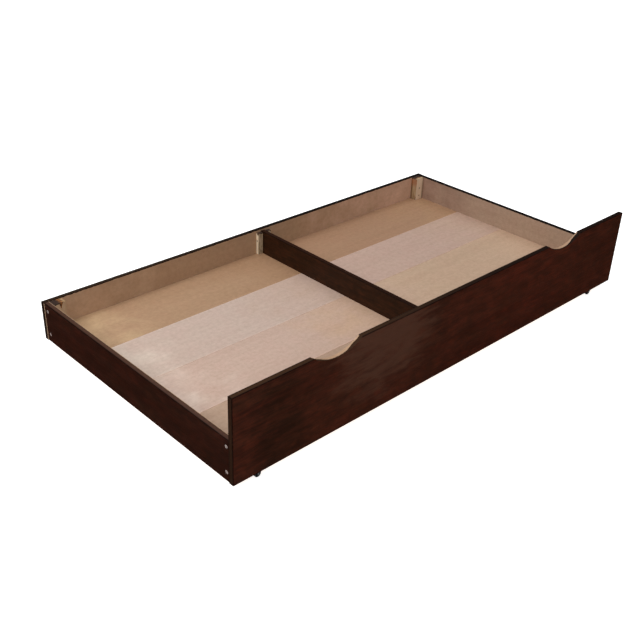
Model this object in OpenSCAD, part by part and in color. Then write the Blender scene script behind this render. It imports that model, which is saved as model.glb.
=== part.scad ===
// Trundle bed: an open bed box on four small swivel casters.
// Millimetres. Origin on the floor under the middle of the box, +X along the length,
// the tall front panel faces -Y, +Z up.

/* [Box] */
// Length over the front panel and the back rail
box_l = 1950; // [1800:10:2100]
// Width from the front panel's outer face to the back rail's outer face
box_w = 1048; // [980:4:1120]
// Thickness of the front panel, the rails and the divider
panel_t = 18; // [16:1:20]
// Height of the front panel
front_h = 298; // [270:2:330]
// Height of the back rail and the end rails
rail_h = 147; // [145:1:160]
// How far the end rails are set in from the ends of the front panel and the back rail
end_inset = 2.5; // [1:0.5:4]

/* [Hand scoops] */
// Width of a scoop along the top edge of the front panel
scoop_w = 199; // [150:1:240]
// Depth of a scoop at its middle
scoop_depth = 32; // [20:1:40]
// Distance of each scoop's middle from the middle of the panel
scoop_x = 579; // [400:1:700]

/* [Bottom] */
// Height of the boards' top face above the lower edge of the rails
deck_z = 44.5; // [42:0.5:48]
// Thickness of a bottom board
board_t = 9; // [8:0.5:10]
// Width of the three equal boards of a compartment; the front board fills the rest
board_w = 246.5; // [235:0.5:250]
// Gap between neighbouring boards
board_gap = 1; // [0.5:0.5:2]
// Width of a cross slat
slat_w = 70; // [50:5:90]
// Thickness of a cross slat
slat_t = 18; // [14:1:20]
// Depth of the front and back ledgers, measured from the panel they sit on
long_ledger_w = 25; // [22:1:30]
// Depth of the end ledgers, measured from the rail they sit on
end_ledger_w = 20; // [16:1:25]
// Height of the end ledgers
end_ledger_h = 22; // [18:1:26]

/* [Divider and corners] */
// Height of the centre divider above the boards
divider_h = 96; // [80:1:100]
// Width of a divider cleat along X
cleat_x = 24; // [20:1:28]
// Depth of a divider cleat along Y
cleat_y = 14; // [13:1:20]
// Drop of a divider cleat's top below the top of the divider
cleat_drop = 4; // [1:1:8]
// Size of a corner post along X
post_x = 46; // [40:1:50]
// Size of a corner post along Y
post_y = 32; // [30:1:36]
// Drop of a corner post's top below the top of the rails
post_drop = 1.5; // [0.5:0.5:10]

/* [Casters] */
// Distance of each caster's swivel axis from the end of the box
caster_x = 111; // [100:1:140]
// Distance of each caster's swivel axis from the outer face of the box
caster_y = 22; // [21:0.5:23]
// Diameter of a caster wheel
wheel_d = 23; // [22:0.5:24]
// Width of a caster wheel
wheel_w = 12; // [10:0.5:13]
// Distance of the wheel's axle behind the swivel axis
caster_trail = 7; // [6:0.5:8]

/* [Hidden] */

// Colours
STAIN = [0.17, 0.08, 0.05];
NATURAL = [0.74, 0.60, 0.46];
PINE = [0.80, 0.68, 0.50];
ZINC = [0.70, 0.71, 0.73];
BLACK = [0.09, 0.09, 0.09];

// Fits
clear = 0.05;
loose = 0.5;
// Extra length of a cut past the face it opens, and of a piece into the one it joins
cut = 1;
joined = 0.01;

// Caster stack, measured down from the lower edge of the box
plate_x = 42;
plate_y = 38;
plate_t = 1.6;
cup_h = 5;
cup_r = 15.5;
cup_low_r = 13.5;
cup_in_r = 14;
cup_in_low_r = 11.5;
crown_gap = 0.4;
crown_t = 1.6;
crown_r = 13;
wheel_clear = 2;
box_z = cup_h + crown_gap + crown_t + wheel_clear + wheel_d;
crown_low = box_z - cup_h - crown_gap - crown_t;

// King pin, with its head inside the cup and its riveted end under the crown
pin_d = 5;
pin_head_d = 9;
pin_head_h = 1.4;
pin_foot_d = 7.6;
pin_foot_h = 0.7;
pin_foot_drop = 1;

// Fork legs, measured along X from the swivel axis at the crown
leg_gap = 1;
leg_t = 1.6;
leg_front = 8;
leg_back = 9;
eye_r = 5;
leg_in_y = wheel_w / 2 + leg_gap;
leg_out_y = leg_in_y + leg_t;

// Axle and wheel
axle_z = wheel_d / 2;
axle_d = 4;
axle_head_d = 7;
axle_head_top_d = 5;
axle_head_h = 1.2;
hub_r = 5;
hub_slope = 0.5;
web_recess = 1;
tread_t = 2.5;
tread_bevel = 1.5;

// Box planes
end_x = box_l / 2;
face_y = box_w / 2;
rail_x = end_x - end_inset;
in_x = rail_x - panel_t;
in_y = face_y - panel_t;
deck_top = box_z + deck_z;
deck_low = deck_top - board_t;
rail_top = box_z + rail_h;
post_low = box_z + 4;
post_top = rail_top - post_drop;
ledger_x = in_x - post_x;
ledger_y = in_y - post_y;
scoop_r = (pow(scoop_w / 2, 2) + pow(scoop_depth, 2)) / (2 * scoop_depth);
slat_step = in_x / 3;

// End rail bolts and their inserts
bolt_d = 6;
bolt_head_d = 12;
bolt_head_h = 5;
bolt_hex_d = 5.8;
bolt_hex_depth = 2.8;
bolt_sink_d = 16;
bolt_sink = 7;
bolt_l = 30;
bolt_room = 3;
bolt_hole_d = 6.6;
insert_d = 10;
insert_l = 16;
bolt_z = [box_z + 29.5, box_z + 119];
bolt_y = in_y - post_y / 2;

// Countersunk wood screws
screw_d = 4;
screw_head_d = 8;
screw_head_h = 2.6;
screw_point_l = 5;
screw_tip_d = 0.6;
screw_recess = 4.2;
recess_w = 1.2;
recess_depth = 1.5;
post_screw_z = [box_z + 62, box_z + 98];
post_screw_l = 42;
cleat_h = divider_h - cleat_drop;
cleat_end = 14;
cleat_rail_z = [deck_top + cleat_end, deck_top + cleat_h - cleat_end];
cleat_divider_z = [deck_top + 34, deck_top + 58];
cleat_rail_screw_l = 27;
cleat_divider_screw_l = 36;
ledger_screw_l = 36;
ledger_screw_z = box_z + 9;
end_ledger_screw_l = 32;
end_ledger_step = ledger_y / 1.8;
slat_screw_l = 32;
slat_screw_x = 18;

// Caster screws
caster_hole_x = 15;
caster_hole_y = 13;
caster_hole_d = 4.3;
caster_screw_d = 3.5;
caster_screw_l = 15;
caster_screw_head_d = 7;
caster_screw_face_d = 5;
caster_screw_head_h = 1.8;
caster_screw_point_l = 4;
caster_recess = 3.4;
caster_recess_depth = 1.2;

$fn = 48;

// ---- fasteners and their holes, pointing down from z = 0 ----

module cross_recess(size, depth) {
    for (turn = [0, 90])
        rotate(turn)
            translate([-size / 2, -recess_w / 2, -depth])
                cube([size, recess_w, depth + cut]);
}

module wood_screw(length) {
    difference() {
        union() {
            translate([0, 0, -screw_head_h])
                cylinder(h = screw_head_h, d1 = screw_d, d2 = screw_head_d);
            translate([0, 0, screw_point_l - length])
                cylinder(h = length - screw_point_l - screw_head_h + joined, d = screw_d);
            translate([0, 0, -length])
                cylinder(h = screw_point_l + joined, d1 = screw_tip_d, d2 = screw_d);
        }
        cross_recess(screw_recess, recess_depth);
    }
}

module wood_screw_hole(length) {
    translate([0, 0, -screw_head_h - clear])
        cylinder(h = screw_head_h + clear, d1 = screw_d + 2 * clear, d2 = screw_head_d + 2 * clear);
    translate([0, 0, -length - cut])
        cylinder(h = length + cut, d = screw_d + 2 * clear);
    cylinder(h = cut, d = screw_head_d + 2 * clear);
}

module rail_bolt() {
    difference() {
        union() {
            cylinder(h = bolt_head_h, d = bolt_head_d);
            translate([0, 0, -bolt_l])
                cylinder(h = bolt_l + joined, d = bolt_d);
        }
        translate([0, 0, bolt_head_h - bolt_hex_depth])
            cylinder(h = bolt_hex_depth + cut, d = bolt_hex_d, $fn = 6);
    }
}

module caster_screw() {
    difference() {
        union() {
            translate([0, 0, -caster_screw_head_h])
                cylinder(h = caster_screw_head_h, d1 = caster_screw_face_d, d2 = caster_screw_head_d);
            cylinder(h = caster_screw_l - caster_screw_point_l, d = caster_screw_d);
            translate([0, 0, caster_screw_l - caster_screw_point_l - joined])
                cylinder(h = caster_screw_point_l + joined, d1 = caster_screw_d, d2 = screw_tip_d);
        }
        translate([0, 0, -caster_screw_head_h])
            mirror([0, 0, 1])
                cross_recess(caster_recess, caster_recess_depth);
    }
}

// ---- placing ----

// Sign of a corner: front is -1 along Y and left is -1 along X
module at_corners() {
    for (sx = [-1, 1])
        for (sy = [-1, 1])
            mirror([sx < 0 ? 1 : 0, 0, 0])
                mirror([0, sy < 0 ? 1 : 0, 0])
                    children();
}

// Rail bolts of one end, heads facing outwards; side is -1 for left and 1 for right
module at_rail_bolts(side) {
    for (sy = [-1, 1])
        for (z = bolt_z)
            translate([side * (rail_x - bolt_sink), sy * bolt_y, z])
                rotate([0, side * 90, 0])
                    children();
}

module at_post_screws() {
    at_corners()
        for (z = post_screw_z)
            translate([in_x - post_x / 2, in_y - post_y, z])
                rotate([90, 0, 0])
                    children();
}

module at_cleat_rail_screws() {
    at_corners()
        for (z = cleat_rail_z)
            translate([panel_t / 2 + cleat_x / 2, in_y - cleat_y, z])
                rotate([90, 0, 0])
                    children();
}

module at_cleat_divider_screws() {
    for (i = [0, 1])
        for (sy = [-1, 1])
            mirror([i, 0, 0])
                translate([panel_t / 2 + cleat_x, sy * (in_y - cleat_y / 2), cleat_divider_z[i]])
                    rotate([0, 90, 0])
                        children();
}

module at_long_ledger_screws() {
    for (sy = [0, 1])
        mirror([0, sy, 0])
            for (i = [-2.5:2.5])
                translate([i * slat_step, in_y - long_ledger_w, ledger_screw_z])
                    rotate([90, 0, 0])
                        children();
}

module at_end_ledger_screws() {
    for (sx = [0, 1])
        mirror([sx, 0, 0])
            for (i = [-1.5:1.5])
                translate([in_x - end_ledger_w, i * end_ledger_step, deck_low - end_ledger_h / 2])
                    rotate([0, -90, 0])
                        children();
}

// Two screws through each end of each slat, head on the slat's top face
module at_slat_screws() {
    for (i = [-2:2])
        for (sx = [-1, 1])
            for (sy = [-1, 1])
                translate([i * slat_step + sx * slat_screw_x, sy * (in_y - long_ledger_w / 2), deck_low])
                    children();
}

module at_caster_screws() {
    at_corners()
        for (sx = [-1, 1])
            for (sy = [-1, 1])
                translate([
                    end_x - caster_x + sx * caster_hole_x,
                    face_y - caster_y + sy * caster_hole_y,
                    box_z - plate_t
                ])
                    children();
}

module caster_screw_holes() {
    at_caster_screws()
        cylinder(h = caster_screw_l + cut, d = caster_screw_d + 2 * clear);
}

// ---- box ----

module front_panel() {
    color(STAIN)
        difference() {
            translate([-end_x, -face_y, box_z])
                cube([box_l, panel_t, front_h]);
            for (side = [-1, 1])
                translate([side * scoop_x, -face_y - cut, box_z + front_h - scoop_depth + scoop_r])
                    rotate([-90, 0, 0])
                        cylinder(h = panel_t + 2 * cut, r = scoop_r, $fn = 128);
            at_post_screws() wood_screw_hole(post_screw_l);
            at_cleat_rail_screws() wood_screw_hole(cleat_rail_screw_l);
            at_long_ledger_screws() wood_screw_hole(ledger_screw_l);
            caster_screw_holes();
        }
}

module back_rail() {
    color(STAIN)
        difference() {
            translate([-end_x, in_y, box_z])
                cube([box_l, panel_t, rail_h]);
            at_post_screws() wood_screw_hole(post_screw_l);
            at_cleat_rail_screws() wood_screw_hole(cleat_rail_screw_l);
            at_long_ledger_screws() wood_screw_hole(ledger_screw_l);
            caster_screw_holes();
        }
}

module end_rail(side) {
    color(STAIN)
        difference() {
            translate([side > 0 ? in_x : -rail_x, -in_y, box_z])
                cube([panel_t, 2 * in_y, rail_h]);
            at_rail_bolts(side) {
                cylinder(h = bolt_sink + cut, d = bolt_sink_d);
                translate([0, 0, -panel_t])
                    cylinder(h = panel_t + cut, d = bolt_hole_d);
            }
            at_end_ledger_screws() wood_screw_hole(end_ledger_screw_l);
        }
}

// Stands on the middle slat, between the ends of the boards
module centre_divider() {
    color(STAIN)
        difference() {
            translate([-panel_t / 2, -in_y, deck_low])
                cube([panel_t, 2 * in_y, board_t + divider_h]);
            at_cleat_divider_screws() wood_screw_hole(cleat_divider_screw_l);
        }
}

// sx and sy are the signs of the corner
module post(sx, sy) {
    color(PINE)
        difference() {
            translate([
                sx > 0 ? in_x - post_x : -in_x,
                sy > 0 ? in_y - post_y : -in_y,
                post_low
            ])
                cube([post_x, post_y, post_top - post_low]);
            at_rail_bolts(sx) {
                translate([0, 0, bolt_sink - panel_t - insert_l])
                    cylinder(h = insert_l + cut, d = insert_d + 2 * clear);
                translate([0, 0, -bolt_l - bolt_room])
                    cylinder(h = bolt_l + bolt_room, d = bolt_hole_d);
            }
            at_post_screws() wood_screw_hole(post_screw_l);
        }
}

module cleat(sx, sy) {
    color(PINE)
        difference() {
            translate([
                sx > 0 ? panel_t / 2 : -panel_t / 2 - cleat_x,
                sy > 0 ? in_y - cleat_y : -in_y,
                deck_top
            ])
                cube([cleat_x, cleat_y, cleat_h]);
            at_cleat_rail_screws() wood_screw_hole(cleat_rail_screw_l);
            at_cleat_divider_screws() wood_screw_hole(cleat_divider_screw_l);
        }
}

// ---- bottom ----

module slat_pocket(i) {
    translate([i * slat_step - slat_w / 2 - loose / 2, -in_y - cut, deck_low - slat_t])
        cube([slat_w + loose, 2 * (in_y + cut), slat_t + cut]);
}

module long_ledger(side) {
    color(PINE)
        difference() {
            translate([-ledger_x, side > 0 ? in_y - long_ledger_w : -in_y, box_z])
                cube([2 * ledger_x, long_ledger_w, deck_low - box_z]);
            for (i = [-2:2]) slat_pocket(i);
            at_long_ledger_screws() wood_screw_hole(ledger_screw_l);
            at_slat_screws() wood_screw_hole(slat_screw_l);
            caster_screw_holes();
        }
}

module end_ledger(side) {
    color(PINE)
        difference() {
            translate([side > 0 ? in_x - end_ledger_w : -in_x, -ledger_y, deck_low - end_ledger_h])
                cube([end_ledger_w, 2 * ledger_y, end_ledger_h]);
            at_end_ledger_screws() wood_screw_hole(end_ledger_screw_l);
        }
}

// Cross slat number i, counted from -2 at the left to 2 at the right
module slat(i) {
    color(PINE)
        difference() {
            translate([i * slat_step - slat_w / 2, -in_y, deck_low - slat_t])
                cube([slat_w, 2 * in_y, slat_t]);
            at_slat_screws() wood_screw_hole(slat_screw_l);
        }
}

// Bottom board number n of one compartment, counted from 1 at the back to 4 at the front
module board(side, n) {
    back_y = in_y - (n - 1) * board_w - (n == 1 ? loose : board_gap / 2);
    front_y = n == 4 ? -in_y + loose : in_y - n * board_w + board_gap / 2;
    length = in_x - panel_t / 2 - 2 * loose;
    color(NATURAL)
        difference() {
            translate([side > 0 ? panel_t / 2 + loose : -in_x + loose, front_y, deck_low])
                cube([length, back_y - front_y, board_t]);
            at_corners()
                translate([in_x - post_x - loose, in_y - post_y - loose, deck_low - cut])
                    cube([post_x + 2 * loose, post_y + 2 * loose, board_t + 2 * cut]);
        }
}

// ---- casters, placed by the signs of their corner ----

module at_caster(sx, sy) {
    translate([sx * (end_x - caster_x), sy * (face_y - caster_y), 0])
        children();
}

module caster_plate(sx, sy) {
    color(ZINC)
        at_caster(sx, sy)
            difference() {
                union() {
                    translate([-plate_x / 2, -plate_y / 2, box_z - plate_t])
                        cube([plate_x, plate_y, plate_t]);
                    translate([0, 0, box_z - cup_h])
                        cylinder(h = cup_h - plate_t + joined, r1 = cup_low_r, r2 = cup_r);
                }
                translate([0, 0, box_z - cup_h + plate_t])
                    cylinder(h = cup_h, r1 = cup_in_low_r, r2 = cup_in_r);
                translate([0, 0, box_z - cup_h - cut])
                    cylinder(h = cup_h, d = pin_d + 2 * clear);
                for (hx = [-1, 1])
                    for (hy = [-1, 1])
                        translate([hx * caster_hole_x, hy * caster_hole_y, box_z - plate_t - cut])
                            cylinder(h = plate_t + 2 * cut, d = caster_hole_d);
            }
}

module caster_pin(sx, sy) {
    color(ZINC)
        at_caster(sx, sy)
            union() {
                translate([0, 0, box_z - cup_h + plate_t])
                    cylinder(h = pin_head_h, d = pin_head_d);
                translate([0, 0, crown_low - pin_foot_drop])
                    cylinder(h = box_z - cup_h + plate_t + joined - crown_low + pin_foot_drop, d = pin_d);
                translate([0, 0, crown_low - pin_foot_drop])
                    cylinder(h = pin_foot_h, d = pin_foot_d);
            }
}

// One fork leg, in the plane of the wheel, with its inner face at y = 0
module fork_leg() {
    crown_mid = crown_low + crown_t / 2;
    rotate([90, 0, 0])
        linear_extrude(leg_t) {
            translate([-caster_trail, axle_z])
                circle(r = eye_r);
            polygon([
                [-caster_trail - eye_r, axle_z],
                [-caster_trail + eye_r, axle_z],
                [leg_front, crown_mid],
                [-leg_back, crown_mid]
            ]);
        }
}

module caster_fork(sx, sy) {
    color(ZINC)
        at_caster(sx, sy)
            difference() {
                union() {
                    translate([0, 0, crown_low])
                        cylinder(h = crown_t, r = crown_r);
                    for (side = [0, 1])
                        mirror([0, side, 0])
                            translate([0, leg_out_y, 0])
                                fork_leg();
                }
                translate([0, 0, crown_low - cut])
                    cylinder(h = crown_t + 2 * cut, d = pin_d + 2 * clear);
                translate([-caster_trail, leg_out_y + cut, axle_z])
                    rotate([90, 0, 0])
                        cylinder(h = 2 * (leg_out_y + cut), d = axle_d + 2 * clear);
            }
}

module caster_axle(sx, sy) {
    color(ZINC)
        at_caster(sx, sy)
            translate([-caster_trail, 0, axle_z])
                rotate([90, 0, 0])
                    union() {
                        translate([0, 0, -leg_out_y - joined])
                            cylinder(h = 2 * (leg_out_y + joined), d = axle_d);
                        for (side = [0, 1])
                            mirror([0, 0, side])
                                translate([0, 0, leg_out_y])
                                    cylinder(h = axle_head_h, d1 = axle_head_d, d2 = axle_head_top_d);
                    }
}

// Half of the wheel's section, from the bore out to the tread, as [radius, offset] points
function wheel_side(half, r) = [
    [axle_d / 2 + clear, half],
    [hub_r, half],
    [hub_r + hub_slope, half - web_recess],
    [r - tread_t - hub_slope, half - web_recess],
    [r - tread_t, half],
    [r - tread_bevel, half],
    [r, half - tread_bevel]
];

module caster_wheel(sx, sy) {
    side = wheel_side(wheel_w / 2, wheel_d / 2);
    last = len(side) - 1;
    color(BLACK)
        at_caster(sx, sy)
            translate([-caster_trail, 0, axle_z])
                rotate([90, 0, 0])
                    rotate_extrude($fn = 64)
                        polygon(concat(
                            [for (p = side) [p.x, -p.y]],
                            [for (i = [last:-1:0]) side[i]]
                        ));
}

// ---- fasteners ----

module rail_bolts(side) {
    color(ZINC) at_rail_bolts(side) rail_bolt();
}

module post_inserts() {
    color(ZINC)
        for (side = [-1, 1])
            at_rail_bolts(side)
                translate([0, 0, bolt_sink - panel_t - insert_l])
                    difference() {
                        cylinder(h = insert_l, d = insert_d);
                        translate([0, 0, -cut])
                            cylinder(h = insert_l + 2 * cut, d = bolt_d + 2 * clear);
                    }
}

module post_screws() {
    color(ZINC) at_post_screws() wood_screw(post_screw_l);
}

module cleat_screws() {
    color(ZINC) {
        at_cleat_rail_screws() wood_screw(cleat_rail_screw_l);
        at_cleat_divider_screws() wood_screw(cleat_divider_screw_l);
    }
}

module ledger_screws() {
    color(ZINC) {
        at_long_ledger_screws() wood_screw(ledger_screw_l);
        at_end_ledger_screws() wood_screw(end_ledger_screw_l);
    }
}

module slat_screws() {
    color(ZINC) at_slat_screws() wood_screw(slat_screw_l);
}

module caster_screws() {
    color(ZINC) at_caster_screws() caster_screw();
}

front_panel();
back_rail();
end_rail(-1);  // left_rail
end_rail(1);  // right_rail
centre_divider();
post(-1, -1);  // front_left_post
post(1, -1);  // front_right_post
post(-1, 1);  // back_left_post
post(1, 1);  // back_right_post
cleat(-1, -1);  // front_left_cleat
cleat(1, -1);  // front_right_cleat
cleat(-1, 1);  // back_left_cleat
cleat(1, 1);  // back_right_cleat
long_ledger(-1);  // front_ledger
long_ledger(1);  // back_ledger
end_ledger(-1);  // left_ledger
end_ledger(1);  // right_ledger
slat(-2);  // slat_1
slat(-1);  // slat_2
slat(0);  // slat_3
slat(1);  // slat_4
slat(2);  // slat_5
board(-1, 1);  // left_board_1
board(-1, 2);  // left_board_2
board(-1, 3);  // left_board_3
board(-1, 4);  // left_board_4
board(1, 1);  // right_board_1
board(1, 2);  // right_board_2
board(1, 3);  // right_board_3
board(1, 4);  // right_board_4
caster_plate(-1, -1);  // front_left_caster_plate
caster_pin(-1, -1);  // front_left_caster_pin
caster_fork(-1, -1);  // front_left_caster_fork
caster_axle(-1, -1);  // front_left_caster_axle
caster_wheel(-1, -1);  // front_left_caster_wheel
caster_plate(1, -1);  // front_right_caster_plate
caster_pin(1, -1);  // front_right_caster_pin
caster_fork(1, -1);  // front_right_caster_fork
caster_axle(1, -1);  // front_right_caster_axle
caster_wheel(1, -1);  // front_right_caster_wheel
caster_plate(-1, 1);  // back_left_caster_plate
caster_pin(-1, 1);  // back_left_caster_pin
caster_fork(-1, 1);  // back_left_caster_fork
caster_axle(-1, 1);  // back_left_caster_axle
caster_wheel(-1, 1);  // back_left_caster_wheel
caster_plate(1, 1);  // back_right_caster_plate
caster_pin(1, 1);  // back_right_caster_pin
caster_fork(1, 1);  // back_right_caster_fork
caster_axle(1, 1);  // back_right_caster_axle
caster_wheel(1, 1);  // back_right_caster_wheel
rail_bolts(-1);  // left_rail_bolts
rail_bolts(1);  // right_rail_bolts
post_inserts();
post_screws();
cleat_screws();
ledger_screws();
slat_screws();
caster_screws();
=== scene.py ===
"""Looks, light and camera for the trundle bed. Metres, in the CAD frame."""
import math
import bpy
from mathutils import Matrix, Vector


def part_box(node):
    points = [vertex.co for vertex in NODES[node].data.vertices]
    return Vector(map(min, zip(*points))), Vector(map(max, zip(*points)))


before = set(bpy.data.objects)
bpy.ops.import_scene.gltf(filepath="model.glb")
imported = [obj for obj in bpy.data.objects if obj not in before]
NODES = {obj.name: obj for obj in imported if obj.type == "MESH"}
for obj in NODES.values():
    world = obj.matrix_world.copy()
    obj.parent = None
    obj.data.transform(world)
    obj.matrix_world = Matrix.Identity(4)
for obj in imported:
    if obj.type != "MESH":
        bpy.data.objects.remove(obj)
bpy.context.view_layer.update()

MM = 0.001
X, Y, Z = 0, 1, 2

# ---------------------------------------------------------------- node helpers


class Graph:
    """Short calls for building the nodes of one material."""

    def __init__(self, name):
        self.mat = bpy.data.materials.new(name)
        self.mat.use_nodes = True
        self.nt = self.mat.node_tree
        self.nt.nodes.clear()
        self.out = self.new("ShaderNodeOutputMaterial")
        self.bsdf = self.new("ShaderNodeBsdfPrincipled")
        self.nt.links.new(self.bsdf.outputs["BSDF"], self.out.inputs["Surface"])
        self.object = self.new("ShaderNodeTexCoord").outputs["Object"]
        self.xyz = None

    def new(self, kind, **settings):
        node = self.nt.nodes.new(kind)
        for key, value in settings.items():
            setattr(node, key, value)
        return node

    def put(self, socket, value):
        """Links a socket, or sets a plain value on it."""
        if isinstance(value, bpy.types.NodeSocket):
            self.nt.links.new(value, socket)
        elif isinstance(value, tuple) and len(value) == 3 and socket.type == "RGBA":
            socket.default_value = (*value, 1.0)
        else:
            socket.default_value = value

    def math(self, operation, *values):
        node = self.new("ShaderNodeMath", operation=operation)
        for socket, value in zip(node.inputs, values):
            self.put(socket, value)
        return node.outputs[0]

    def product(self, a, b):
        return self.math("MULTIPLY", a, b)

    def axis(self, index):
        """One object coordinate: X, Y or Z."""
        if self.xyz is None:
            self.xyz = self.new("ShaderNodeSeparateXYZ")
            self.nt.links.new(self.object, self.xyz.inputs[0])
        return self.xyz.outputs[index]

    def from_plane(self, index, plane):
        """Distance from a plane across one axis."""
        return self.math("ABSOLUTE", self.math("SUBTRACT", self.axis(index), plane))

    def noise(self, scale, shift=(0.0, 0.0, 0.0), detail=3.0, rough=0.5, warp=0.0):
        """Noise over object coordinates. scale is features per metre, one value or one for each axis."""
        place = self.new("ShaderNodeMapping")
        self.nt.links.new(self.object, place.inputs["Vector"])
        place.inputs["Scale"].default_value = scale if isinstance(scale, tuple) else (scale,) * 3
        place.inputs["Location"].default_value = shift
        node = self.new("ShaderNodeTexNoise")
        self.nt.links.new(place.outputs["Vector"], node.inputs["Vector"])
        node.inputs["Scale"].default_value = 1.0
        node.inputs["Detail"].default_value = detail
        node.inputs["Roughness"].default_value = rough
        node.inputs["Distortion"].default_value = warp
        return node.outputs["Fac"]

    def band(self, value, low, high, out_low=0.0, out_high=1.0, smooth=False):
        """Maps low..high to out_low..out_high, clamped."""
        node = self.new("ShaderNodeMapRange", clamp=True)
        if smooth:
            node.interpolation_type = "SMOOTHSTEP"
        for socket, v in zip(node.inputs[:5], (value, low, high, out_low, out_high)):
            self.put(socket, v)
        return node.outputs[0]

    def mix(self, amount, a, b, blend="MIX"):
        node = self.new("ShaderNodeMix", data_type="RGBA", blend_type=blend)
        factor, first, second = (node.inputs[i] for i in (0, 6, 7))
        self.put(factor, amount)
        self.put(first, a)
        self.put(second, b)
        return node.outputs[2]

    def shade(self, amount, colour, by):
        """Multiplies a colour by another one, as far as amount says."""
        return self.mix(amount, colour, by, "MULTIPLY")

    def bump(self, height, strength, distance):
        node = self.new("ShaderNodeBump")
        node.inputs["Strength"].default_value = strength
        node.inputs["Distance"].default_value = distance
        self.nt.links.new(height, node.inputs["Height"])
        return node.outputs["Normal"]

    def finish(self, colour, rough, normal=None, **plain):
        """Fills the shader and gives the material. plain holds other sockets by name."""
        self.put(self.bsdf.inputs["Base Color"], colour)
        self.put(self.bsdf.inputs["Roughness"], rough)
        if normal is not None:
            self.put(self.bsdf.inputs["Normal"], normal)
        for name, value in plain.items():
            self.put(self.bsdf.inputs[name.replace("_", " ")], value)
        return self.mat


def srgb(r, g, b):
    """A colour given as 0 to 255 screen values, as linear light."""
    out = []
    for v in (r, g, b):
        v /= 255
        out.append(v / 12.92 if v <= 0.04045 else ((v + 0.055) / 1.055) ** 2.4)
    return tuple(out)


def dimmed(colour, by):
    return tuple(v * by for v in colour)


def tinted(colour, *by):
    return tuple(v * k for v, k in zip(colour, by))


def shifts(seed, *steps):
    """Where a piece's pattern starts on each axis."""
    return tuple(seed * step for step in steps)


def along(axis, fine, long):
    """Scales for a pattern that is fine across the grain and long along it."""
    return tuple(long if i == axis else fine for i in range(3))


def edge_distance(g, low, high):
    """Distance of a surface point from the nearest edge of a box-shaped piece."""
    gaps = []
    for i in range(3):
        off = g.from_plane(i, (low[i] + high[i]) / 2)
        gaps.append(g.math("SUBTRACT", (high[i] - low[i]) / 2, off))
    least = g.math("MINIMUM", gaps[0], gaps[1])
    most = g.math("MAXIMUM", gaps[0], gaps[1])
    return g.math("MAXIMUM", least, g.math("MINIMUM", most, gaps[2]))


# ---------------------------------------------------------------- wood patterns

STAIN_GLOSS = 0.07
WOOD_GLOSS = 0.3

# Features per metre across the grain
FIGURE = 28.0
FIBRE = 420.0
PORE = 900.0
STREAK = 170.0
BLOTCH = 34.0
# Features per metre, the same on every axis
RED_CLOUD = 7.0
PALE_CLOUD = 6.0
PINK_CLOUD = 15.0
MOTTLE = 70.0
RAGGED = 90.0

# What stains and veneers are multiplied by
BLOTCH_DARK = (0.74, 0.80, 0.84)
BLOTCH_LIGHT = (1.22, 1.16, 1.12)
STREAK_DARK = (0.76, 0.82, 0.86)
STREAK_LIGHT = (1.17, 1.11, 1.08)
MOTTLE_DARK = (0.93, 0.915, 0.90)
MOTTLE_LIGHT = (1.045, 1.04, 1.035)
FIGURE_DARK = (0.90, 0.885, 0.87)
CORE_LIGHT = (1.35, 1.32, 1.30)
END_DARK = (0.52, 0.46, 0.42)
RIM_DARK = (0.26, 0.22, 0.20)
RIM_HIGHLIGHT = (1.20, 1.18, 1.16)
PINKER = (1.03, 0.96, 0.98)
# Thickness of a board's layers and of half a yearly ring
LAYER = 1.8 * MM
RING = 2.6 * MM


def grain(g, axis, seed):
    """Figure, fibre and pore patterns of a board whose grain runs along one axis."""
    shift = shifts(seed, 1.7, 2.3, 0.9)
    figure = g.noise(along(axis, FIGURE, 1.1), shift, 4.0, 0.55, 0.6)
    fibre = g.noise(along(axis, FIBRE, 9.0), shift, 4.0, 0.62)
    pore = g.noise(along(axis, PORE, 34.0), shift, 2.0, 0.5)
    return figure, fibre, g.band(pore, 0.60, 0.72)


def stained_colour(g, axis, seed, tones):
    """Dark espresso stain over close-grained wood: three tones, blotches, streaks, fibres and pores."""
    figure, fibre, pore = grain(g, axis, seed)
    shift = shifts(seed, 3.1, 1.3, 2.9)
    red = g.band(g.noise(RED_CLOUD, shift, 3.0, 0.6, 0.4), 0.38, 0.64)
    colour = g.mix(red, tones[0], tones[1])
    colour = g.mix(g.band(figure, 0.42, 0.68), colour, tones[2])
    blotch = g.noise(along(axis, BLOTCH, 20.0), shift, 4.0, 0.7, 0.5)
    colour = g.shade(g.band(blotch, 0.40, 0.62), colour, BLOTCH_DARK)
    colour = g.shade(g.band(blotch, 0.54, 0.36), colour, BLOTCH_LIGHT)
    streak = g.noise(along(axis, STREAK, 13.0), shift, 3.0, 0.62, 0.3)
    colour = g.shade(g.band(streak, 0.47, 0.60), colour, STREAK_DARK)
    colour = g.shade(g.band(streak, 0.52, 0.40), colour, STREAK_LIGHT)
    colour = g.mix(g.band(fibre, 0.30, 0.75, 0.0, 0.45), colour, dimmed(tones[0], 0.55))
    colour = g.mix(g.product(pore, 0.55), colour, dimmed(tones[0], 0.35))
    height = g.math("SUBTRACT", g.product(fibre, 0.5), pore)
    return colour, height, fibre


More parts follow.
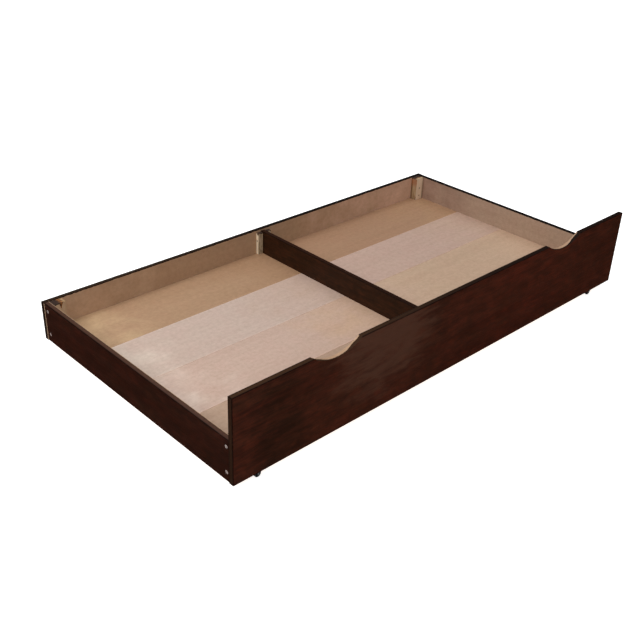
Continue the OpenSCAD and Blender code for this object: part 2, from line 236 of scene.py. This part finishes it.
def natural_colour(g, axis, seed, tones, low, high):
    """Unfinished veneer: its tone drifts along the grain, with soft clouds, faint fibres and small pores."""
    figure, fibre, pore = grain(g, axis, seed)
    shift = shifts(seed, 2.1, 3.7, 1.9)
    cloud = g.noise(PALE_CLOUD, shift, 3.0, 0.6, 0.3)
    place = g.band(g.axis(axis), low[axis], high[axis])
    place = g.math("ADD", place, g.band(cloud, 0.3, 0.7, -0.12, 0.12))
    colour = g.mix(g.band(place, 0.02, 0.30, smooth=True), tones[0], tones[1])
    colour = g.mix(g.band(place, 0.55, 0.98, smooth=True), colour, tones[2])
    pink = g.noise(PINK_CLOUD, shift, 2.0, 0.5)
    colour = g.mix(g.band(pink, 0.40, 0.62, 0.0, 0.30), colour, tinted(tones[1], *PINKER))
    mottle = g.noise(MOTTLE, shift, 4.0, 0.7)
    colour = g.shade(g.band(mottle, 0.46, 0.64), colour, MOTTLE_DARK)
    colour = g.shade(g.band(mottle, 0.50, 0.34), colour, MOTTLE_LIGHT)
    colour = g.shade(g.band(figure, 0.30, 0.80), colour, FIGURE_DARK)
    colour = g.mix(g.band(fibre, 0.35, 0.78, 0.0, 0.16), colour, dimmed(tones[2], 0.65))
    colour = g.mix(g.product(pore, 0.28), colour, dimmed(tones[2], 0.45))
    height = g.math("SUBTRACT", g.product(fibre, 0.6), pore)
    return colour, height, fibre


# ------------------------------------------------------------------ wood tones

STAIN = (srgb(63, 25, 11), srgb(57, 26, 12), srgb(55, 19, 6))
END_STAIN = (srgb(46, 18, 9), srgb(41, 20, 10), srgb(40, 14, 5))
DIVIDER_STAIN = (srgb(56, 33, 19), srgb(52, 28, 16), srgb(46, 24, 12))
WORN = srgb(120, 84, 58)
# Edge faces, near the low end of a panel and near its high end. The paler left ends of the front and back
# tops and the pale tops of the left rail are a painted sheen.
FRONT_TOPS = (srgb(54, 35, 22), srgb(25, 12, 6))
BACK_TOPS = (srgb(44, 31, 21), srgb(17, 10, 7))
LEFT_TOPS = (srgb(72, 50, 41), srgb(71, 49, 39))
RIGHT_TOPS = (srgb(17, 10, 7), srgb(17, 10, 7))
DIVIDER_TOPS = (srgb(34, 15, 6), srgb(42, 20, 9))
# Bare inner faces, from the low end of a panel to its high end
FRONT_WALL = (srgb(188, 156, 128), srgb(182, 150, 122), srgb(186, 154, 128))
BACK_WALL = (srgb(209, 176, 146), srgb(186, 154, 124), srgb(226, 189, 165))
LEFT_WALL = (srgb(190, 160, 132), srgb(186, 154, 126), srgb(190, 158, 130))
RIGHT_WALL = (srgb(204, 184, 162), srgb(181, 155, 134), srgb(152, 122, 106))
# Bottom boards from back to front: tones at the left end, in the middle and at the right end. The left-end
# tones are partly the boards' own paler ends and partly painted light that offsets the left rail's shade.
BOARDS = {
    "left": [
        (srgb(198, 168, 132), srgb(175, 142, 112), srgb(168, 132, 101)),
        (srgb(218, 202, 188), srgb(199, 178, 165), srgb(196, 169, 152)),
        (srgb(219, 200, 187), srgb(198, 172, 157), srgb(200, 168, 143)),
        (srgb(188, 162, 141), srgb(176, 149, 128), srgb(176, 148, 126)),
    ],
    "right": [
        (srgb(170, 134, 106), srgb(170, 134, 106), srgb(174, 138, 106)),
        (srgb(198, 169, 155), srgb(196, 168, 153), srgb(196, 167, 148)),
        (srgb(198, 170, 148), srgb(196, 168, 143), srgb(200, 170, 144)),
        (srgb(190, 162, 136), srgb(188, 160, 134), srgb(188, 160, 134)),
    ],
}
# Sawn wood: two tones of early wood and one of late wood
PINE = (srgb(214, 188, 156), srgb(202, 172, 138), srgb(176, 136, 100))
PALE_PINE = (srgb(246, 226, 200), srgb(240, 214, 184), srgb(214, 178, 142))
# The cleats' pine is made paler than real wood as painted light
BRIGHT_PINE = (srgb(252, 242, 220), srgb(248, 234, 206), srgb(224, 196, 156))
# Stain on the top ends of posts and cleats
SOAKED = srgb(50, 33, 24)
FRINGE = srgb(150, 96, 50)
FRINGE_DARK = srgb(74, 42, 22)
# Marks on posts and cleats, with painted shade in the creases by the walls, on the posts' left faces and on
# the cleats' narrow faces
CREASE_SHADE = (0.42, 0.36, 0.30)
SIDE_SHADE = (0.50, 0.44, 0.36)
SMEAR = (0.62, 0.54, 0.40)
REDDENED = srgb(150, 90, 56)
SPOTTED = srgb(104, 60, 34)
CLEAT_SHADE = (0.60, 0.54, 0.48)
CLEAT_DIRT = (0.66, 0.60, 0.52)
HANDLED = (0.66, 0.60, 0.50)
ARRIS_DARK = (0.72, 0.68, 0.62)

# ------------------------------------------------------------- stained panels

# Where bare wood ends on a panel that is natural inside: how far it wraps onto the edge faces, how far
# stain laps down from the top, the stained margin at the ends, and the depth and wrap of the scoops
BARE_EDGE = {"wrap": 0.0, "lap": 1.2 * MM, "margin": 1.0 * MM}
FRONT_BARE_EDGE = {"wrap": 4 * MM, "lap": 1.2 * MM, "margin": 5 * MM, "scoop": 32 * MM, "scoop_wrap": 12 * MM}
LEFT_BARE_EDGE = {"wrap": 1.2 * MM, "lap": -5 * MM, "margin": 0.0}

# Soft patches on the front panel: place and reach along X and Z, how strong, and which tone
# The first patch is a painted sheen, a soft highlight painted into the stain left of the middle
PAINTED_SHEEN = {"place": (-0.365, 0.28), "reach": (0.28, 0.22), "amount": 0.80, "tone": srgb(71, 43, 30)}
RED_PATCH = {"place": (0.42, 0.22), "reach": (0.34, 0.24), "amount": 0.75, "tone": (1.26, 1.01, 0.95)}
DARK_PATCH = {"place": (-0.79, 0.11), "reach": (0.15, 0.30), "amount": 1.0, "tone": (0.62, 0.78, 0.76)}


def thickness_axis(low, high):
    return X if high.x - low.x < high.y - low.y else Y


def edge_tone(g, low, high, across, along_axis, tops, ragged):
    """Tone of a panel's edge faces: it changes along the panel (on the front panel and back rail a painted
    sheen that fades to the right), is paler at the core, darker on the ends.
    """
    place = g.band(g.axis(along_axis), low[along_axis], high[along_axis])
    colour = g.mix(g.band(place, 0.15, 0.65, smooth=True), tops[0], tops[1])
    off = g.from_plane(across, (low[across] + high[across]) / 2)
    core = g.band(off, 0.5 * MM, 5.0 * MM, 1.0, 0.0, True)
    colour = g.shade(g.product(core, ragged), colour, CORE_LIGHT)
    half = (high[along_axis] - low[along_axis]) / 2
    out = g.from_plane(along_axis, low[along_axis] + half)
    return g.shade(g.band(out, half - 0.9 * MM, half - 0.3 * MM), colour, END_DARK)


def bare_side(g, low, high, face, side, bare_edge, ragged):
    """1 on a panel's bare inner face, whose outline bare_edge describes."""
    depth = g.from_plane(face, high[face] if side > 0 else low[face])
    wrap = bare_edge["wrap"] + 0.4 * MM
    if "scoop" in bare_edge:
        above = g.from_plane(Z, high.z - bare_edge["scoop"])
        wrap = g.band(above, 1.0 * MM, 14.0 * MM, bare_edge["scoop_wrap"], wrap, True)
    reach = g.math("MULTIPLY_ADD", ragged, 0.8 * MM, wrap)
    bare = g.band(g.math("SUBTRACT", depth, reach), -0.2 * MM, 0.2 * MM, 1.0, 0.0)
    below = g.math("SUBTRACT", high.z - bare_edge["lap"], g.axis(Z))
    drop = g.math("MULTIPLY_ADD", ragged, -1.6 * MM, below)
    bare = g.product(bare, g.band(drop, -0.2 * MM, 0.3 * MM))
    ends = Y if face == X else X
    off = g.from_plane(ends, (low[ends] + high[ends]) / 2)
    inside = (high[ends] - low[ends]) / 2 - bare_edge["margin"]
    return g.product(bare, g.band(off, inside, inside + 0.4 * MM, 1.0, 0.0))


def soft_patch(g, colour, place, reach, amount, tone, blend="MIX"):
    """A soft patch of another tone, broken up along the grain, on a panel that faces -Y."""
    off_x = g.math("DIVIDE", g.math("SUBTRACT", g.axis(X), place[0]), reach[0])
    off_z = g.math("DIVIDE", g.math("SUBTRACT", g.axis(Z), place[1]), reach[1])
    away = g.math("ADD", g.product(off_x, off_x), g.product(off_z, off_z))
    break_up = g.noise(along(X, 45.0, 9.0), detail=4.0, rough=0.68, warp=0.4)
    away = g.math("ADD", away, g.band(break_up, 0.36, 0.64, -0.32, 0.42))
    return g.mix(g.band(away, 0.0, 1.0, amount, 0.0, True), colour, tone, blend)


def patched_front(g, colour):
    """The front panel's stain: a painted sheen left of the middle, redder to the right, darker beside its
    left end.
    """
    colour = soft_patch(g, colour, **PAINTED_SHEEN)
    colour = soft_patch(g, colour, **RED_PATCH, blend="MULTIPLY")
    return soft_patch(g, colour, **DARK_PATCH, blend="MULTIPLY")


def stained_panel(name, seed, tones, tops, inner=0, natural=None, bare_edge=BARE_EDGE, finish=None):
    """Stained board. inner is the side of a face left natural, 0 for none, tops are the tones of its edge
    faces, finish changes the colour of its stained faces."""
    low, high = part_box(name)
    across = thickness_axis(low, high)
    axis = X if across == Y else Y
    g = Graph(name + "_stain")
    colour, height, fibre = stained_colour(g, axis, seed, tones)
    if finish:
        colour = finish(g, colour)
    ragged = g.band(g.noise(RAGGED, detail=3.0, rough=0.6), 0.36, 0.64)
    rim = edge_distance(g, low, high)
    off = g.from_plane(across, (low[across] + high[across]) / 2)
    half = (high[across] - low[across]) / 2
    on_edge = g.band(off, half - 1.6 * MM, half - 0.8 * MM, 1.0, 0.0)
    colour = g.mix(on_edge, colour, edge_tone(g, low, high, across, axis, tops, ragged))
    colour = g.shade(g.band(rim, 0.6 * MM, 4.2 * MM, 1.0, 0.0, True), colour, RIM_DARK)
    worn = g.product(g.band(rim, 0.0, 0.9 * MM, 1.0, 0.0), g.band(ragged, 0.75, 0.95, 0.0, 0.3))
    colour = g.mix(worn, colour, WORN)
    rough = g.band(fibre, 0.3, 0.7, 0.36, 0.48)
    if inner:
        bare = bare_side(g, low, high, across, inner, bare_edge, ragged)
        plain, plain_height, _ = natural_colour(g, axis, seed + 5.0, natural, low, high)
        colour = g.mix(bare, colour, plain)
        rough = g.math("MULTIPLY_ADD", bare, 0.18, rough)
        height = g.math("MULTIPLY_ADD", g.math("SUBTRACT", plain_height, height), bare, height)
    normal = g.bump(height, 0.35, 0.25 * MM)
    return g.finish(colour, rough, normal, Specular_IOR_Level=STAIN_GLOSS)


# ------------------------------------------------------- boards and sawn wood


def natural_board(name, axis, seed, tones):
    """Bottom board: natural veneer with a painted highlight along its rims and cut edges that show its
    layers.
    """
    low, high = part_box(name)
    g = Graph(name + "_veneer")
    colour, height, fibre = natural_colour(g, axis, seed, tones, low, high)
    rim = edge_distance(g, low, high)
    # Painted highlight: the board's rims are lightened as if catching the light
    colour = g.shade(g.band(rim, 1.0 * MM, 6.0 * MM, 0.6, 0.0, True), colour, RIM_HIGHLIGHT)
    layers = g.math("PINGPONG", g.math("SUBTRACT", g.axis(Z), low.z), LAYER)
    dark_layer = g.band(layers, 0.7 * MM, 1.1 * MM)
    side = g.band(g.axis(Z), high.z - 1.2 * MM, high.z - 0.7 * MM, 1.0, 0.0)
    side = g.product(side, g.band(g.axis(Z), low.z + 0.7 * MM, low.z + 1.2 * MM))
    colour = g.mix(g.product(side, dark_layer), colour, dimmed(tones[2], 0.6))
    rough = g.band(fibre, 0.3, 0.7, 0.48, 0.62)
    return g.finish(colour, rough, g.bump(height, 0.25, 0.2 * MM), Specular_IOR_Level=WOOD_GLOSS)


def top_stain(g, high, spread, shift):
    """Stain on a piece's top end, with an orange fringe and runs. spread is the axis it spreads along,
    the plane it starts from and how far it goes."""
    axis, start, width = spread
    blot = g.noise(130.0, shift, 4.0, 0.65)
    away = g.math("ADD", g.from_plane(axis, start), 0.25 * width)
    away = g.math("MULTIPLY_ADD", blot, -0.5 * width, away)
    fringe = g.band(away, 0.75 * width, 1.05 * width)
    depth = g.math("SUBTRACT", high.z, g.axis(Z))
    run = g.noise((110.0, 110.0, 20.0), shift, 2.0, 0.5)
    reach = g.math("MULTIPLY_ADD", fringe, 22 * MM, 4 * MM)
    run = g.product(g.band(run, 0.42, 0.60), reach)
    wet = g.band(g.math("SUBTRACT", depth, run), 0.2 * MM, 2.0 * MM, 1.0, 0.0)
    wet = g.product(wet, g.band(away, 1.2 * width, 1.45 * width, 1.0, 0.0))
    tone = g.mix(g.band(blot, 0.46, 0.56), FRINGE, FRINGE_DARK)
    return wet, g.mix(fringe, SOAKED, tone)


def on_face(g, axis, plane):
    """1 on the face of a piece that lies in a plane."""
    return g.band(g.from_plane(axis, plane), 0.3 * MM, 1.2 * MM, 1.0, 0.0)


def shaded_and_smeared_post(g, low, high, colour, shift):
    """Marks on a post: painted shade in strips along the walls it meets, and a left face darkened as painted
    shade, with brown smears, redder near its top and spotted near the boards."""
    side = on_face(g, X, low.x)
    wall_x = low.x if low.x < 0 else high.x
    wall_y = low.y if low.y < 0 else high.y
    gap = g.math("MINIMUM", g.from_plane(X, wall_x), g.from_plane(Y, wall_y))
    # Painted shade in the creases where the post meets the walls
    colour = g.shade(g.band(gap, 3.0 * MM, 9.0 * MM, 0.85, 0.0, True), colour, CREASE_SHADE)
    streak = g.noise((160.0, 160.0, 12.0), shift, 3.0, 0.6)
    # Painted shade: the post's left face is darkened
    colour = g.shade(side, colour, SIDE_SHADE)
    colour = g.shade(g.product(side, g.band(streak, 0.46, 0.60, 0.0, 0.8)), colour, SMEAR)
    height = g.band(g.axis(Z), low.z, high.z)
    red = g.product(side, g.band(height, 0.66, 0.86, 0.0, 0.7, True))
    colour = g.mix(red, colour, REDDENED)
    spots = g.band(g.noise(120.0, shift, 2.0, 0.5), 0.48, 0.58, 0.0, 0.8)
    foot = g.product(spots, g.band(height, 0.34, 0.46, 1.0, 0.0, True))
    return g.mix(g.product(foot, side), colour, SPOTTED)


def shaded_and_dirty_cleat(g, low, high, colour, shift):
    """A cleat's narrow faces are darker and greyer than its side faces as painted shade, with dirt in
    patches.
    """
    front = g.math("MAXIMUM", on_face(g, Y, low.y), on_face(g, Y, high.y))
    dirt = g.band(g.noise((90.0, 90.0, 30.0), shift, 3.0, 0.6), 0.46, 0.60)
    # Painted shade on the cleat's narrow faces
    colour = g.shade(front, colour, CLEAT_SHADE)
    return g.shade(g.product(front, dirt), colour, CLEAT_DIRT)


def sawn_wood(name, axis, seed, tones, stain=None, marks=None):
    """Planed softwood with darker late wood lines. stain says how the stain on its top end spreads, and marks
    adds painted shade and what handling leaves."""
    low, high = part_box(name)
    g = Graph(name + "_wood")
    figure, fibre, _ = grain(g, axis, seed)
    shift = shifts(seed, 0.7, 1.1, 0.4)
    wander = g.noise(along(axis, 14.0, 1.6), shift, 2.0, 0.5)
    across = [g.axis(i) for i in range(3) if i != axis]
    radius = g.math("ADD", across[0], g.product(across[1], 0.45))
    rings = g.math("PINGPONG", g.math("MULTIPLY_ADD", wander, 14 * MM, radius), RING)
    late = g.band(rings, 1.7 * MM, RING, smooth=True)
    colour = g.mix(g.band(figure, 0.35, 0.7), tones[0], tones[1])
    colour = g.mix(g.product(late, 0.5), colour, tones[2])
    colour = g.mix(g.band(fibre, 0.35, 0.8, 0.0, 0.3), colour, dimmed(tones[2], 0.7))
    rim = edge_distance(g, low, high)
    colour = g.shade(g.band(rim, 0.3 * MM, 1.6 * MM, 0.5, 0.0, True), colour, ARRIS_DARK)
    rough = g.band(fibre, 0.3, 0.7, 0.52, 0.66)
    if marks:
        colour = marks(g, low, high, colour, shift)
    if stain:
        handled = g.band(g.axis(Z), high.z - 2.0 * MM, high.z - 0.8 * MM)
        colour = g.shade(handled, colour, HANDLED)
        wet, brown = top_stain(g, high, stain, shift)
        colour = g.mix(wet, colour, brown)
        rough = g.math("MULTIPLY_ADD", wet, -0.12, rough)
    height = g.math("SUBTRACT", g.product(fibre, 0.6), g.product(late, 0.4))
    return g.finish(colour, rough, g.bump(height, 0.3, 0.25 * MM), Specular_IOR_Level=WOOD_GLOSS)


# --------------------------------------------------------------- metal, plastic

CASTER_ZINC = (0.58, 0.59, 0.60)
SCREW_ZINC = (0.50, 0.40, 0.27)
BOLT_ZINC = (0.56, 0.47, 0.44)
GRIME = srgb(96, 84, 66)
# How metallic the zinc is where it is clean and where it is grimy
CASTER_SHINE = (1.0, 0.72)
SCREW_SHINE = (0.35, 0.2)
BOLT_SHINE = (0.45, 0.3)
BLACK = (0.012, 0.012, 0.013)
DUST = (0.075, 0.07, 0.064)


def zinc(name, seed, tone, shine):
    """Zinc plate: faint mottle, fine tool lines and duller grime in patches."""
    g = Graph(name)
    shift = shifts(seed, 1.0, 2.0, 3.0)
    mottle = g.noise(420.0, shift, 4.0, 0.6)
    lines = g.noise((260.0, 260.0, 2600.0), shift, 2.0, 0.5)
    colour = g.mix(g.band(mottle, 0.35, 0.7), tone, dimmed(tone, 0.72))
    colour = g.mix(g.band(mottle, 0.62, 0.75, 0.0, 0.5), colour, GRIME)
    rough = g.math("ADD", g.band(mottle, 0.3, 0.7, 0.24, 0.42), g.band(lines, 0.3, 0.7, 0.0, 0.08))
    metal = g.band(mottle, 0.60, 0.78, *shine)
    return g.finish(colour, rough, g.bump(lines, 0.25, 0.05 * MM), Metallic=metal)


def moulded_black(name, seed):
    """Black moulded plastic: fine texture, dusty scuffs."""
    g = Graph(name)
    shift = shifts(seed, 1.0, 2.0, 3.0)
    cell = g.noise(1400.0, shift, 2.0, 0.5)
    scuff = g.noise(150.0, shift, 4.0, 0.65, 0.5)
    dust = g.band(scuff, 0.50, 0.72)
    colour = g.mix(g.product(dust, 0.6), BLACK, DUST)
    rough = g.math("MULTIPLY_ADD", dust, 0.25, g.band(cell, 0.3, 0.7, 0.34, 0.46))
    return g.finish(colour, rough, g.bump(cell, 0.3, 0.05 * MM))


# ----------------------------------------------------------------- dress nodes

CORNERS = ("front_left", "front_right", "back_left", "back_right")
SLATS = 5
# How far stain spreads over the top ends of posts and cleats
LEFT_POST_STAIN = 28 * MM
RIGHT_POST_STAIN = 17 * MM
CLEAT_STAIN = 40 * MM
# How wide each kind of piece's edges are rounded
PANEL_EASE = 1.0 * MM
BOARD_EASE = 0.6 * MM
POST_EASE = 1.0 * MM
CLEAT_EASE = 1.2 * MM
LEDGER_EASE = 0.8 * MM
SLAT_EASE = 1.2 * MM
WELD_REACH = 0.01 * MM
FLAT_ANGLE = math.radians(0.5)
SHARP_ANGLE = math.radians(50)


def dress(name, material):
    node = NODES[name]
    node.data.materials.clear()
    node.data.materials.append(material)


def ease(name, width):
    """Rounds a piece's sharp edges. Its flat faces are joined first and keep their own normals."""
    node = NODES[name]
    weld = node.modifiers.new("weld", "WELD")
    weld.merge_threshold = WELD_REACH
    flat = node.modifiers.new("flat", "DECIMATE")
    flat.decimate_type = "DISSOLVE"
    flat.angle_limit = FLAT_ANGLE
    bevel = node.modifiers.new("ease", "BEVEL")
    bevel.width = width
    bevel.segments = 2
    bevel.limit_method = "ANGLE"
    bevel.angle_limit = SHARP_ANGLE
    bevel.use_clamp_overlap = False
    bevel.miter_outer = "MITER_ARC"
    even = node.modifiers.new("even", "WEIGHTED_NORMAL")
    even.mode = "FACE_AREA"
    even.weight = 100


def dress_panels():
    panels = {
        "front_panel": (1.0, STAIN, FRONT_TOPS, 1, FRONT_WALL, FRONT_BARE_EDGE, patched_front),
        "back_rail": (2.0, STAIN, BACK_TOPS, -1, BACK_WALL),
        "left_rail": (3.0, END_STAIN, LEFT_TOPS, 1, LEFT_WALL, LEFT_BARE_EDGE),
        "right_rail": (4.0, END_STAIN, RIGHT_TOPS, -1, RIGHT_WALL),
        "centre_divider": (5.0, DIVIDER_STAIN, DIVIDER_TOPS),
    }
    for name, look in panels.items():
        dress(name, stained_panel(name, *look))
        ease(name, PANEL_EASE)


def dress_boards():
    for s, side in enumerate(("left", "right")):
        for n, tones in enumerate(BOARDS[side], 1):
            name = f"{side}_board_{n}"
            dress(name, natural_board(name, X, 10.0 + 4 * s + n, tones))
            ease(name, BOARD_EASE)


def dress_timber():
    for i, corner in enumerate(CORNERS):
        post, cleat = corner + "_post", corner + "_cleat"
        low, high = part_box(post)
        if "left" in corner:
            tones, stain = PINE, (X, low.x, LEFT_POST_STAIN)
        else:
            tones, stain = PALE_PINE, (Y, high.y if high.y > 0 else low.y, RIGHT_POST_STAIN)
        dress(post, sawn_wood(post, Z, 20.0 + i, tones, stain, shaded_and_smeared_post))
        dress(cleat, sawn_wood(cleat, Z, 24.0 + i, BRIGHT_PINE, (X, 0.0, CLEAT_STAIN), shaded_and_dirty_cleat))
        ease(post, POST_EASE)
        ease(cleat, CLEAT_EASE)
    for i, (side, axis) in enumerate((("front", X), ("back", X), ("left", Y), ("right", Y))):
        dress(side + "_ledger", sawn_wood(side + "_ledger", axis, 30.0 + i, PINE))
        ease(side + "_ledger", LEDGER_EASE)
    for i in range(1, SLATS + 1):
        dress(f"slat_{i}", sawn_wood(f"slat_{i}", Y, 40.0 + i, PINE))
        ease(f"slat_{i}", SLAT_EASE)


def dress_hardware():
    for i, corner in enumerate(CORNERS):
        metal = zinc(corner + "_zinc", 1.0 + i, CASTER_ZINC, CASTER_SHINE)
        for part in ("plate", "pin", "fork", "axle"):
            dress(f"{corner}_caster_{part}", metal)
        dress(f"{corner}_caster_wheel", moulded_black(corner + "_wheel_black", 2.0 + i))
    screws = zinc("screw_zinc", 7.0, SCREW_ZINC, SCREW_SHINE)
    for name in ("post_screws", "cleat_screws", "ledger_screws", "slat_screws", "caster_screws"):
        dress(name, screws)
    bolts = zinc("bolt_zinc", 9.0, BOLT_ZINC, BOLT_SHINE)
    for name in ("left_rail_bolts", "right_rail_bolts", "post_inserts"):
        dress(name, bolts)


# ------------------------------------------------------------ stage and camera

FLOOR_REACH = 14.0
FLOOR_TONES = ((0.90, 0.90, 0.895), (0.93, 0.93, 0.925))
FLOOR_GLOW = 0.76
# Sky light by how high a ray looks: from its low end to straight up
SKY_HEIGHTS = (0.35, 1.0)
SKY_STRENGTHS = (0.03, 1.38)
BACKDROP = (0.97, 0.97, 0.97, 1.0)
# Where a lamp stands, where it points, its size and its power in watts
LAMPS = {
    "key": ((-3.8, 0.5, 3.4), (-0.4, 0, 0.1), 2.4, 130.0),
    "fill": ((-1.0, -4.0, 3.4), (0, 0, 0.1), 3.0, 38.0),
}
CAMERA_AT = (-2.1948, -2.0922, 1.7202)
CAMERA_AZIMUTH = -44.356
CAMERA_ELEVATION = 30.011
CAMERA_ROLL = 2.183
CAMERA_LENS = 51.46
CAMERA_SENSOR = 36.0
CAMERA_SIGHT = 100.0


def stage_floor():
    """A plain pale floor, lit enough by itself to hide soft shadows."""
    mesh = bpy.data.meshes.new("studio_floor")
    r = FLOOR_REACH
    mesh.from_pydata([(-r, -r, 0), (r, -r, 0), (r, r, 0), (-r, r, 0)], [], [(0, 1, 2, 3)])
    floor = bpy.data.objects.new("studio_floor", mesh)
    bpy.context.scene.collection.objects.link(floor)
    g = Graph("studio_floor")
    colour = g.mix(g.noise(0.8, detail=2.0, rough=0.5), *FLOOR_TONES)
    g.finish(colour, 0.9, Emission_Color=(1.0, 1.0, 1.0), Emission_Strength=FLOOR_GLOW)
    floor.data.materials.append(g.mat)
    floor.visible_glossy = False


def soft_light(name, place, target, size, watts):
    lamp = bpy.data.lights.new(name, "AREA")
    lamp.shape = "SQUARE"
    lamp.size = size
    lamp.energy = watts
    obj = bpy.data.objects.new(name, lamp)
    bpy.context.scene.collection.objects.link(obj)
    obj.location = place
    aim = Vector(target) - Vector(place)
    obj.rotation_euler = aim.to_track_quat("-Z", "Y").to_euler()


def studio_world():
    """Soft light from high up, little from low down for the gloss to pick up, and a pale backdrop."""
    world = bpy.data.worlds.new("studio")
    world.use_nodes = True
    nt = world.node_tree
    nt.nodes.clear()
    out = nt.nodes.new("ShaderNodeOutputWorld")
    sky = nt.nodes.new("ShaderNodeBackground")
    backdrop = nt.nodes.new("ShaderNodeBackground")
    choose = nt.nodes.new("ShaderNodeMixShader")
    ray = nt.nodes.new("ShaderNodeLightPath")
    place = nt.nodes.new("ShaderNodeTexCoord")
    split = nt.nodes.new("ShaderNodeSeparateXYZ")
    ramp = nt.nodes.new("ShaderNodeMapRange")
    ramp.interpolation_type = "SMOOTHSTEP"
    for name, value in zip(("From Min", "From Max", "To Min", "To Max"), SKY_HEIGHTS + SKY_STRENGTHS):
        ramp.inputs[name].default_value = value
    backdrop.inputs["Color"].default_value = BACKDROP
    nt.links.new(place.outputs["Generated"], split.inputs[0])
    nt.links.new(split.outputs["Z"], ramp.inputs["Value"])
    nt.links.new(ramp.outputs[0], sky.inputs["Strength"])
    nt.links.new(ray.outputs["Is Camera Ray"], choose.inputs[0])
    nt.links.new(sky.outputs[0], choose.inputs[1])
    nt.links.new(backdrop.outputs[0], choose.inputs[2])
    nt.links.new(choose.outputs[0], out.inputs["Surface"])
    bpy.context.scene.world = world


def add_camera():
    turn = math.radians(CAMERA_AZIMUTH)
    tilt = math.radians(CAMERA_ELEVATION)
    roll = math.radians(CAMERA_ROLL)
    back = Vector((math.sin(turn) * math.cos(tilt), -math.cos(turn) * math.cos(tilt), math.sin(tilt)))
    level = (-back).cross(Vector((0, 0, 1))).normalized()
    upright = level.cross(-back)
    right = level * math.cos(roll) + upright * math.sin(roll)
    up = upright * math.cos(roll) - level * math.sin(roll)
    data = bpy.data.cameras.new("camera")
    data.lens = CAMERA_LENS
    data.sensor_width = CAMERA_SENSOR
    data.clip_end = CAMERA_SIGHT
    camera = bpy.data.objects.new("camera", data)
    bpy.context.scene.collection.objects.link(camera)
    camera.matrix_world = Matrix.Translation(CAMERA_AT) @ Matrix((right, up, back)).transposed().to_4x4()
    bpy.context.scene.camera = camera


dress_panels()
dress_boards()
dress_timber()
dress_hardware()
stage_floor()
studio_world()
for name, settings in LAMPS.items():
    soft_light(name, *settings)
add_camera()
bpy.context.scene.view_settings.view_transform = "Standard"
